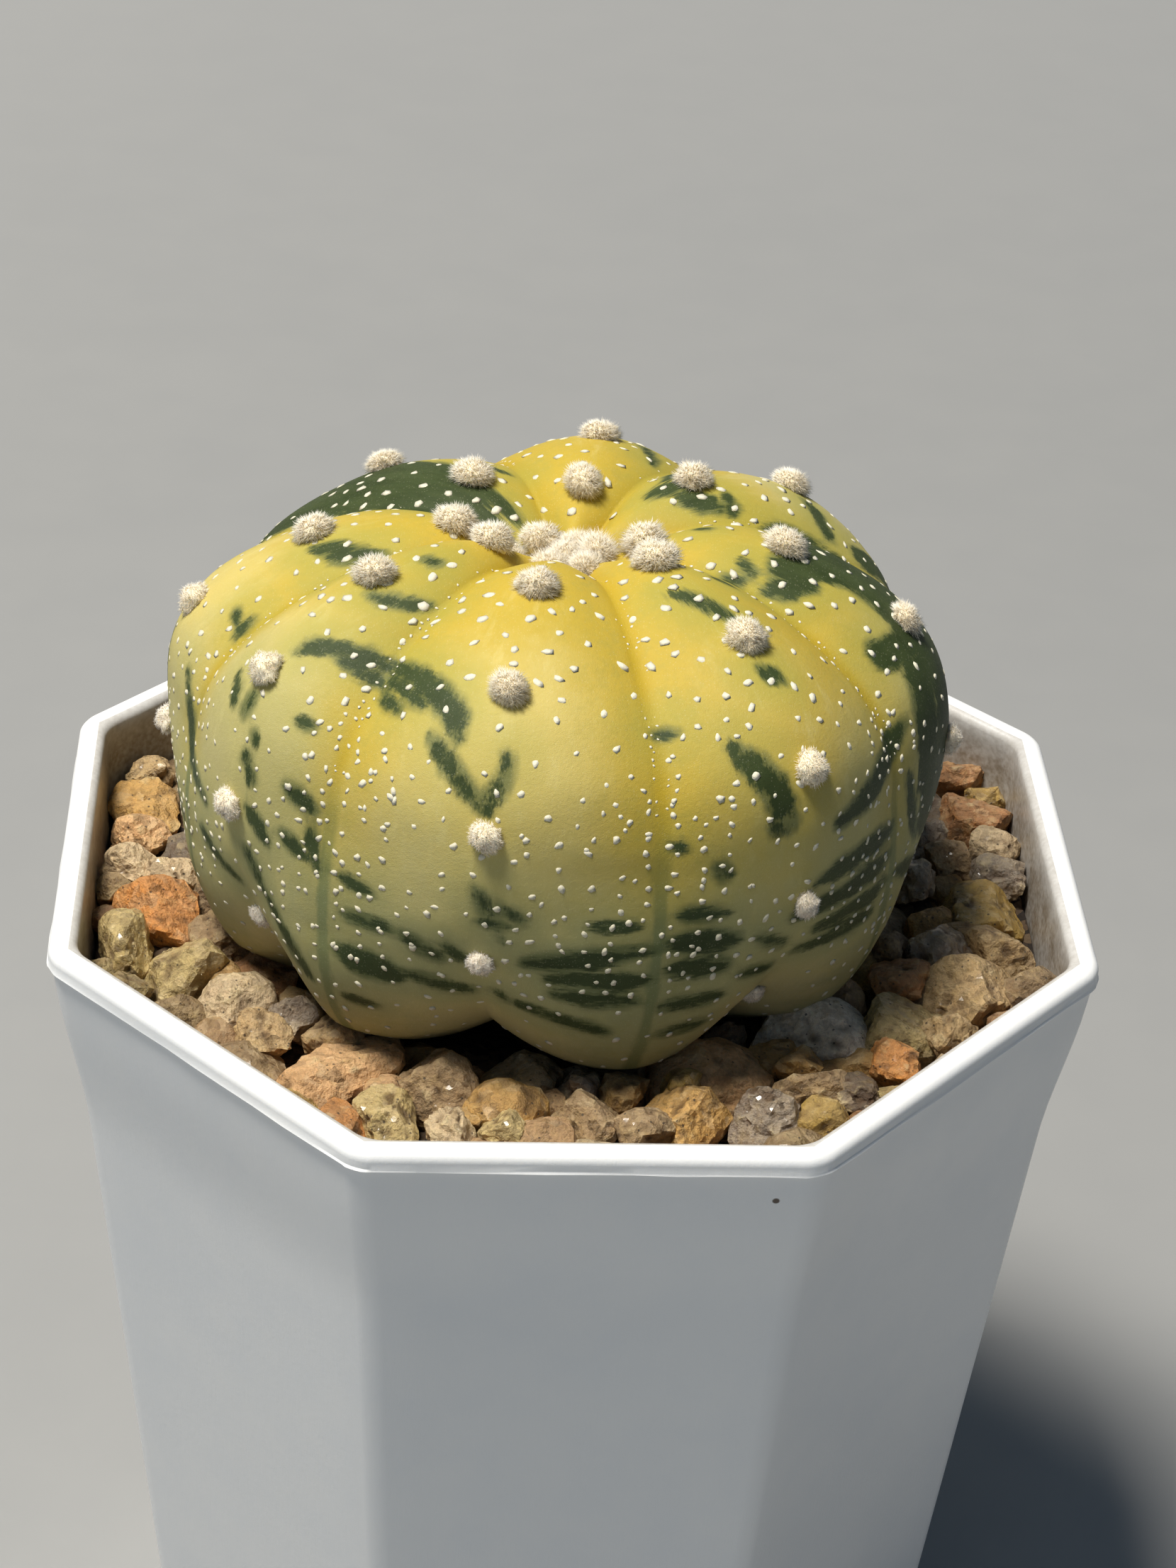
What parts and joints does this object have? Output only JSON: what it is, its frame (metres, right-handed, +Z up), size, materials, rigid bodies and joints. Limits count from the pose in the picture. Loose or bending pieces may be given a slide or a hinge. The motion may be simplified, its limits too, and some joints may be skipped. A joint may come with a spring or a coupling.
{
  "type": "potted variegated star cactus",
  "caption": "Squat ribbed star cactus, variegated yellow and green, with woolly tufts, in a tapering octagonal pot topped with gravel.",
  "frame": {"origin": "middle of the pot's base, on the surface that it stands on", "axes": "+Z up; -Y is the front, the side that the picture shows; two flat sides of the pot face -Y and +Y"},
  "size_m": [0.075, 0.075, 0.1072],
  "materials": {
    "pot_plastic": "satin",
    "soil": "matte",
    "gravel": "matte",
    "stem_skin": "satin",
    "wool": "matte"
  },
  "bodies": {
    "root": {"pot": "pot_plastic", "potting_mix": "soil", "gravel": "gravel", "cactus_stem": "stem_skin", "crown_wool": "wool"}
  },
  "joints": []
}
